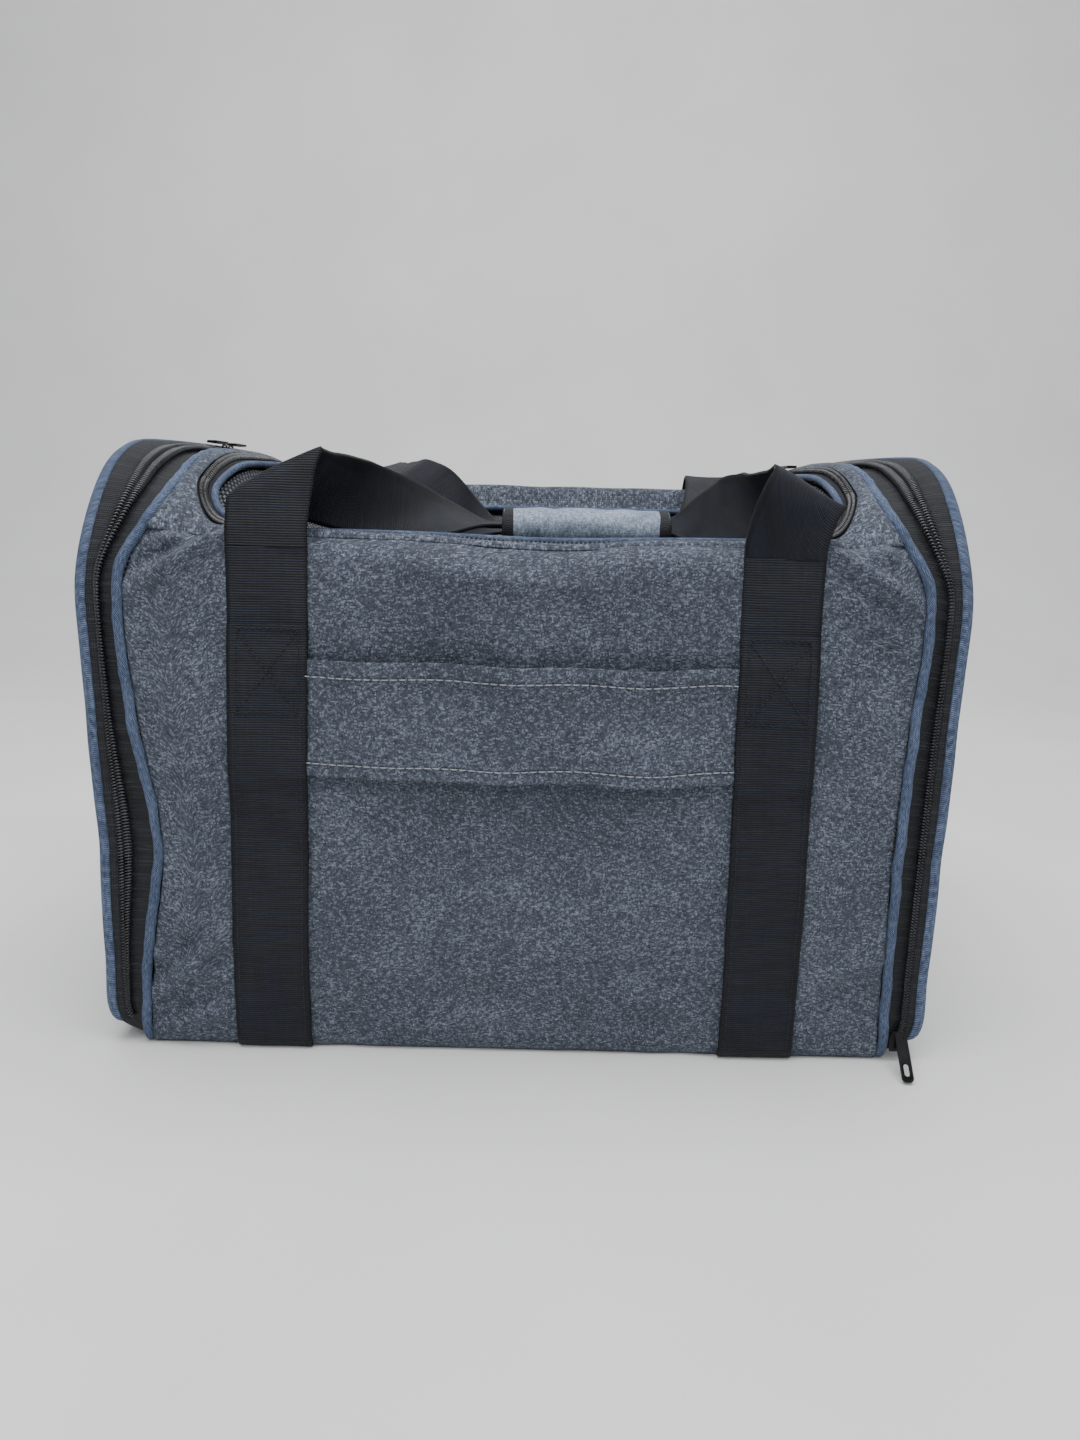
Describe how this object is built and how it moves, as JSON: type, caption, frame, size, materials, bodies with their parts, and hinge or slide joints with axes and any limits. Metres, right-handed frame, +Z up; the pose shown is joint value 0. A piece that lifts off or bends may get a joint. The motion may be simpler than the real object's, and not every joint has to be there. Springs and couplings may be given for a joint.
{
  "type": "soft-sided pet carrier bag",
  "caption": "Soft pet carrier bag with arched zip-down mesh ends, a zipped mesh top, webbing handles with a grip wrap and a luggage sleeve.",
  "frame": {"origin": "middle of the underside of the base panel", "axes": "+X along the bag to its right end, +Y to its rear, +Z up; the luggage sleeve is on the -Y side"},
  "size_m": [0.431, 0.2984, 0.3071],
  "materials": {
    "heather_fabric": "heathered blue-grey woven polyester, matt",
    "denim_trim": "light steel-blue twill, matt",
    "webbing": "black ribbed webbing, slight sheen",
    "zip_tape": "black woven zipper tape",
    "zip_coil": "black nylon coil, satin",
    "zip_metal": "black painted metal, worn at the edges",
    "mesh": "black knitted polyester mesh",
    "grip_fabric": "pale heathered blue-grey fabric, matt",
    "fleece": "pale grey fleece",
    "base_board": "dark grey plastic sheet, matt",
    "hoop_wire": "spring steel wire"
  },
  "bodies": {
    "carrier": {"front_panel": "heather_fabric", "rear_panel": "heather_fabric", "top_surround": "heather_fabric", "base_panel": "heather_fabric", "base_board": "base_board", "bed_pad": "fleece", "opening_zip_tape": "zip_tape", "left_piping": "denim_trim", "left_frame_hoop": "hoop_wire", "left_body_zip_tape": "zip_tape", "left_body_zip_coil": "zip_coil", "left_sill": "heather_fabric", "right_piping": "denim_trim", "right_frame_hoop": "hoop_wire", "right_body_zip_tape": "zip_tape", "right_body_zip_coil": "zip_coil", "right_sill": "heather_fabric", "front_left_strap": "webbing", "front_right_strap": "webbing", "rear_left_strap": "webbing", "rear_right_strap": "webbing", "trolley_sleeve": "heather_fabric"},
    "lid": {"lid_zip_tape": "zip_tape", "lid_piping": "denim_trim", "lid_mesh": "mesh"},
    "left_door": {"left_door_zip_coil": "zip_coil", "left_door_zip_tape": "zip_tape", "left_door_border": "denim_trim", "left_door_mesh": "mesh"},
    "right_door": {"right_door_zip_coil": "zip_coil", "right_door_zip_tape": "zip_tape", "right_door_border": "denim_trim", "right_door_mesh": "mesh"},
    "front_handle": {"front_handle_webbing": "webbing", "grip_wrap": "grip_fabric", "grip_binding_left": "zip_tape", "grip_binding_right": "zip_tape"},
    "rear_handle": {"rear_handle_webbing": "webbing"},
    "slider_right_door": {"right_door_slider": "zip_metal"},
    "pull_right_door": {"right_door_pull": "zip_metal"},
    "slider_left_front": {"left_front_slider": "zip_metal"},
    "pull_left_front": {"left_front_pull": "zip_metal"},
    "slider_left_rear": {"left_rear_slider": "zip_metal"},
    "pull_left_rear": {"left_rear_pull": "zip_metal"},
    "slider_lid": {"lid_slider": "zip_metal"},
    "pull_lid": {"lid_pull": "zip_metal"}
  },
  "joints": [
    {"name": "left_door_open", "type": "hinge", "parent": "carrier", "child": "left_door", "pos_m": [-0.20245, 0, 0.0135], "axis": [0, -1, 0], "range_deg": [0, 90]},
    {"name": "right_door_open", "type": "hinge", "parent": "carrier", "child": "right_door", "pos_m": [0.20245, 0, 0.0135], "axis": [0, 1, 0], "range_deg": [0, 90]},
    {"name": "lid_open", "type": "hinge", "parent": "carrier", "child": "lid", "pos_m": [0, 0.119, 0.275], "axis": [1, 0, 0], "range_deg": [0, 75]},
    {"name": "front_handle_lift", "type": "hinge", "parent": "carrier", "child": "front_handle", "pos_m": [0, -0.1325, 0.2972], "axis": [1, 0, 0], "range_deg": [0, 130]},
    {"name": "rear_handle_lift", "type": "hinge", "parent": "carrier", "child": "rear_handle", "pos_m": [0, 0.1325, 0.2972], "axis": [-1, 0, 0], "range_deg": [0, 130]},
    {"name": "right_door_zip", "type": "slide", "parent": "carrier", "child": "slider_right_door", "axis": [0, 0, 1], "range_m": [0, 0.2]},
    {"name": "right_door_pull_swing", "type": "hinge", "parent": "slider_right_door", "child": "pull_right_door", "pos_m": [0.20245, -0.1402, 0.01858], "axis": [-1, 0, 0], "range_deg": [0, 120]},
    {"name": "left_front_zip", "type": "slide", "parent": "carrier", "child": "slider_left_front", "axis": [0, -1, 0], "range_m": [0, 0.078]},
    {"name": "left_front_pull_swing", "type": "hinge", "parent": "slider_left_front", "child": "pull_left_front", "pos_m": [-0.20245, 0.018, 0.3059], "axis": [-1, 0, 0], "range_deg": [0, 110]},
    {"name": "left_rear_zip", "type": "slide", "parent": "carrier", "child": "slider_left_rear", "axis": [0, 1, 0], "range_m": [0, 0.028]},
    {"name": "left_rear_pull_swing", "type": "hinge", "parent": "slider_left_rear", "child": "pull_left_rear", "pos_m": [-0.20245, 0.03, 0.3059], "axis": [1, 0, 0], "range_deg": [0, 110]},
    {"name": "lid_zip", "type": "slide", "parent": "carrier", "child": "slider_lid", "axis": [0, -1, 0], "range_m": [0, 0.11]},
    {"name": "lid_pull_swing", "type": "hinge", "parent": "slider_lid", "child": "pull_lid", "pos_m": [0.17735, 0.056, 0.30638], "axis": [-1, 0, 0], "range_deg": [0, 110]}
  ]
}
